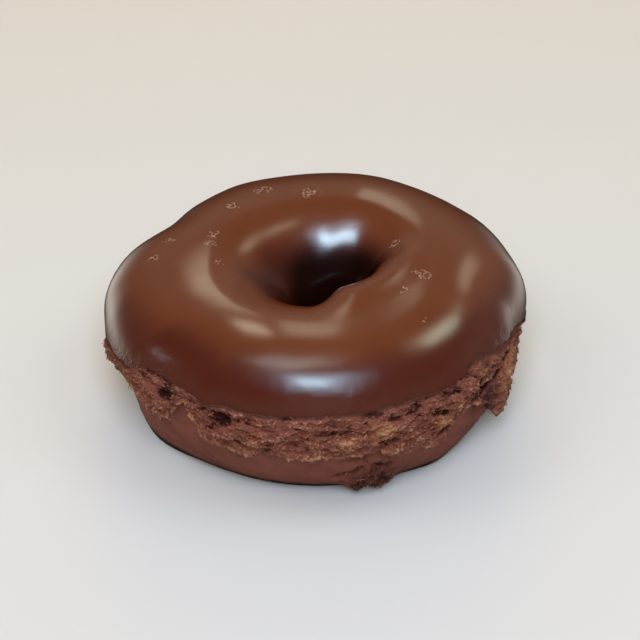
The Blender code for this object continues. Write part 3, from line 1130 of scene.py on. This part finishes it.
# What the icing mirrors of the room. A window is (mm to the right and back, from the ring's middle to where
# it shows, azimuth, elevation, watts, size, what else differs from nearWindow)
windows = {
    "core": ((0, 0), -98, 82, 0.47, 0.11, {"distance": 0.6, "spread": 180, "colour": (0.58, 0.84, 1.0)}),
    "halo": ((0, 0), -92, 80, 0.8, 0.28, {"distance": 0.62, "spread": 180, "colour": (0.5, 0.76, 1.0)}),
    "holeGlint": (
        (3.6, 11.2), -112, 71, 600e-6, 0.012, {"height": 0.019, "spread": 40, "colour": (0.58, 0.82, 1.0)},
    ),
    "nearLeft": ((-21.7, -10.9), 95, 35, 15.5e-6, 0.023, {"height": 0.01, "spread": 15}),
    "nearFrontLeft": ((-12.3, -24.9), 99, 45, 12.42e-6, 0.009, {}),
    "nearFront": ((-0.5, -27.3), 91, 40, 13.5e-6, 0.014, {}),
    "nearHoleTop": ((-8.0, 12.6), 50, 66, 4.8e-6, 0.007, {}),
    "nearHoleLeft": ((-14.2, 6.6), 52, 51, 5.2e-6, 0.007, {}),
    "nearBack": ((14.0, 20.2), 83, 31, 10.8e-6, 0.014, {}),
    "nearRight": ((30.4, -6.5), 63, 36, 8.6e-6, 0.012, {}),
    "nearFrontRight": ((24.9, -23.9), 48, 53, 90e-6, 0.022, {"colour": (0.92, 1.0, 0.75)}),
    "nearGlow": (
        (-3.0, -34.0), 110, 71, 125e-6, 0.036, {"height": 0.015, "spread": 30, "colour": (0.86, 1.0, 0.96)},
    ),
    "nearLump": ((16.0, -13.0), 84, 42, 2.8e-6, 0.007, {}),
    "nearLowLeft": ((-30.5, -27.0), 168, 32, 6.64e-6, 0.01, {"colour": (0.8, 0.92, 1.0)}),
}
# what a window is like that shines on a small part of the icing
nearWindow = {"distance": 0.058, "spread": 18, "colour": (1.0, 0.92, 0.68)}
icingHeight = 14.0  # mm from the point aimed at up to the icing that the windows hang over


def makePanel(
    name, azimuth, elevation, watts, colour, size=0.5, height=None, distance=0.9, over=(0, 0), spread=180,
    inGloss=False,
):
    lamp = bpy.data.lights.new(name, "AREA")
    lamp.shape = "RECTANGLE"
    lamp.size = size
    lamp.size_y = height or size
    lamp.spread = math.radians(spread)
    lamp.energy = watts
    lamp.color = colour
    holder = bpy.data.objects.new(name, lamp)
    a, e = math.radians(azimuth), math.radians(elevation)
    towards = Vector((math.cos(a) * math.cos(e), math.sin(a) * math.cos(e), math.sin(e)))
    above = Vector((over[0], over[1], icingHeight if inGloss else 0.0)) * 0.001
    holder.location = aim + above + towards * distance
    holder.rotation_euler = towards.to_track_quat("Z", "Y").to_euler()
    holder.visible_camera = False
    holder.visible_glossy = inGloss
    holder.visible_diffuse = not inGloss
    scene.collection.objects.link(holder)


cameraForm = {
    "height of aim": 0.014,
    "elevation": 35.75,
    "distance": 0.3618,
    "roll": 0.34,
    "focal length": 96.02,
    "shift": (2.2 / 640, 3.2 / 640),
}
aim = Vector((ringMiddle.x, ringMiddle.y, cameraForm["height of aim"]))


def makeCamera():
    camera = bpy.data.objects.new("camera", bpy.data.cameras.new("camera"))
    scene.collection.objects.link(camera)
    elevation, roll = math.radians(cameraForm["elevation"]), math.radians(cameraForm["roll"])
    forward = Vector((0.0, math.cos(elevation), -math.sin(elevation)))
    up = Vector((0.0, math.sin(elevation), math.cos(elevation)))
    right = Vector((1.0, 0.0, 0.0))
    rightTurned = right * math.cos(roll) - up * math.sin(roll)
    upTurned = up * math.cos(roll) + right * math.sin(roll)
    turned = Matrix((rightTurned, upTurned, -forward)).transposed().to_4x4()
    turned.translation = aim - forward * cameraForm["distance"]
    camera.matrix_world = turned
    camera.data.lens = cameraForm["focal length"]
    camera.data.shift_x, camera.data.shift_y = cameraForm["shift"]
    camera.data.clip_start = 0.01
    scene.camera = camera


makeFloor()
makeWorld()
for name, panel in panels.items():
    makePanel(name, *panel)
for name, (over, azimuth, elevation, watts, size, others) in windows.items():
    look = {**nearWindow, **others}
    makePanel(name, azimuth, elevation, watts, size=size, over=over, inGloss=True, **look)
makeCamera()
scene.view_settings.view_transform = "Standard"
